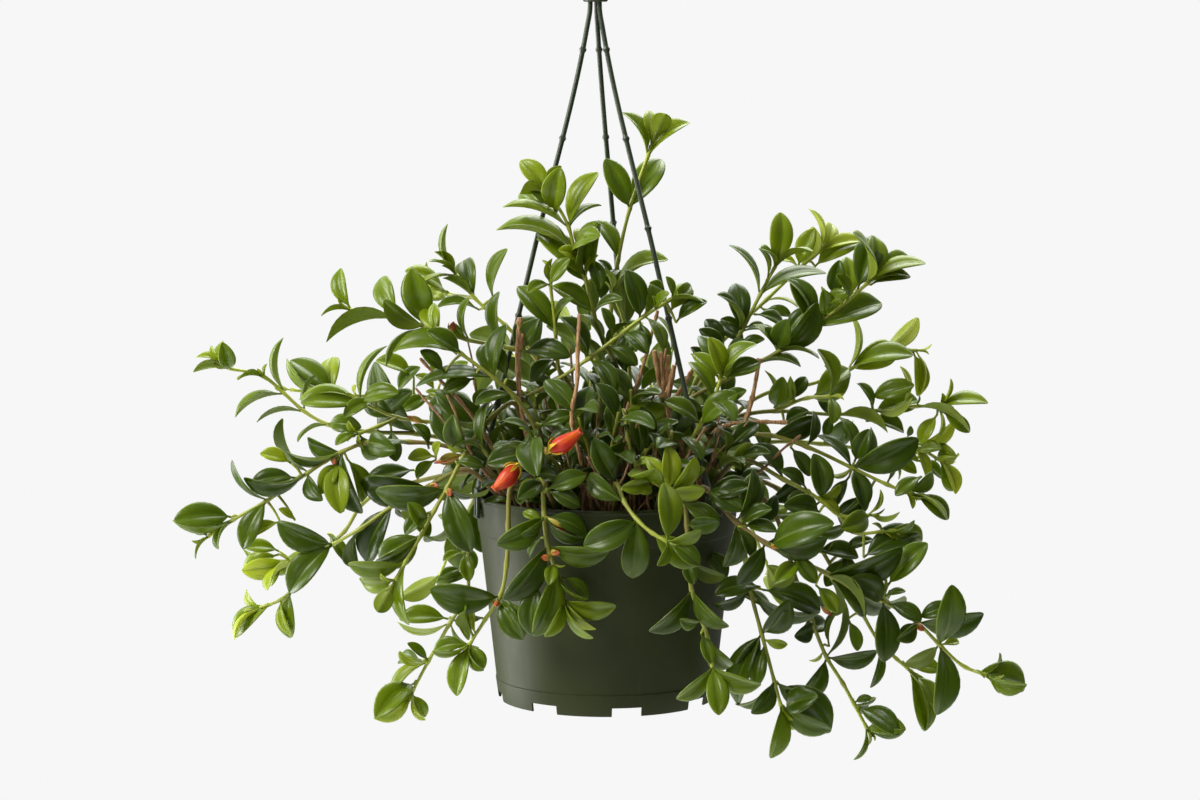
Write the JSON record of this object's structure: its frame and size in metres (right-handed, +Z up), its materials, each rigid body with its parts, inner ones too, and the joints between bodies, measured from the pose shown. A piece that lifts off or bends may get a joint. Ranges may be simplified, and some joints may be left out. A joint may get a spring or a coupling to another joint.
{
  "type": "hanging basket plant",
  "caption": "Goldfish plant in a tapered plastic pot that hangs from three strands and a hook: arching and trailing leafy stems, pouched orange flowers and cut woody twigs.",
  "frame": {"origin": "the seat of the hook, the inside top of its loop, where it bears on what carries it", "axes": "+Z up, +X to the viewer's right, -Y towards the viewer of the picture"},
  "size_m": [0.509, 0.3531, 0.514],
  "materials": {
    "pot_plastic": "satin",
    "soil": "rough",
    "hanger_plastic": "satin",
    "leafy_stem": "glossy",
    "old_wood": "rough",
    "calyx": "satin",
    "flower": "satin"
  },
  "bodies": {
    "root": {"cut_twig_centre": "old_wood", "cut_twig_crown": "old_wood", "cut_twig_left": "old_wood", "cut_twig_right": "old_wood", "dead_stem_right": "old_wood", "flower_lower": "flower", "flower_lower_calyx": "calyx", "flower_upper": "flower", "flower_upper_calyx": "calyx", "hanger_hook": "hanger_plastic", "hanger_strand_back": "hanger_plastic", "hanger_strand_left": "hanger_plastic", "hanger_strand_right": "hanger_plastic", "leafy_stem_behind_pot_left": "leafy_stem", "leafy_stem_centre_left": "leafy_stem", "leafy_stem_centre_left_tall": "leafy_stem", "leafy_stem_centre_short": "leafy_stem", "leafy_stem_centre_tall": "leafy_stem", "leafy_stem_far_1": "leafy_stem", "leafy_stem_far_10": "leafy_stem", "leafy_stem_far_2": "leafy_stem", "leafy_stem_far_3": "leafy_stem", "leafy_stem_far_4": "leafy_stem", "leafy_stem_far_5": "leafy_stem", "leafy_stem_far_6": "leafy_stem", "leafy_stem_far_7": "leafy_stem", "leafy_stem_far_8": "leafy_stem", "leafy_stem_far_9": "leafy_stem", "leafy_stem_front_bright": "leafy_stem", "leafy_stem_front_centre": "leafy_stem", "leafy_stem_front_inner_left": "leafy_stem", "leafy_stem_front_inner_right": "leafy_stem", "leafy_stem_front_left": "leafy_stem", "leafy_stem_front_right_bright": "leafy_stem", "leafy_stem_left_back": "leafy_stem", "leafy_stem_left_back_low": "leafy_stem", "leafy_stem_left_front_upper": "leafy_stem", "leafy_stem_left_high": "leafy_stem", "leafy_stem_left_long": "leafy_stem", "leafy_stem_left_low": "leafy_stem", "leafy_stem_left_lower": "leafy_stem", "leafy_stem_left_upper": "leafy_stem", "leafy_stem_left_woody": "leafy_stem", "leafy_stem_pot_front_left": "leafy_stem", "leafy_stem_pot_front_right": "leafy_stem", "leafy_stem_pot_left": "leafy_stem", "leafy_stem_right_back_high": "leafy_stem", "leafy_stem_right_back_middle": "leafy_stem", "leafy_stem_right_back_upper": "leafy_stem", "leafy_stem_right_cascade": "leafy_stem", "leafy_stem_right_drooping": "leafy_stem", "leafy_stem_right_hanging": "leafy_stem", "leafy_stem_right_high": "leafy_stem", "leafy_stem_right_level": "leafy_stem", "leafy_stem_right_middle": "leafy_stem", "leafy_stem_right_outer": "leafy_stem", "leafy_stem_right_shaded": "leafy_stem", "leafy_stem_right_upright": "leafy_stem", "pot": "pot_plastic", "soil": "soil"}
  },
  "joints": []
}
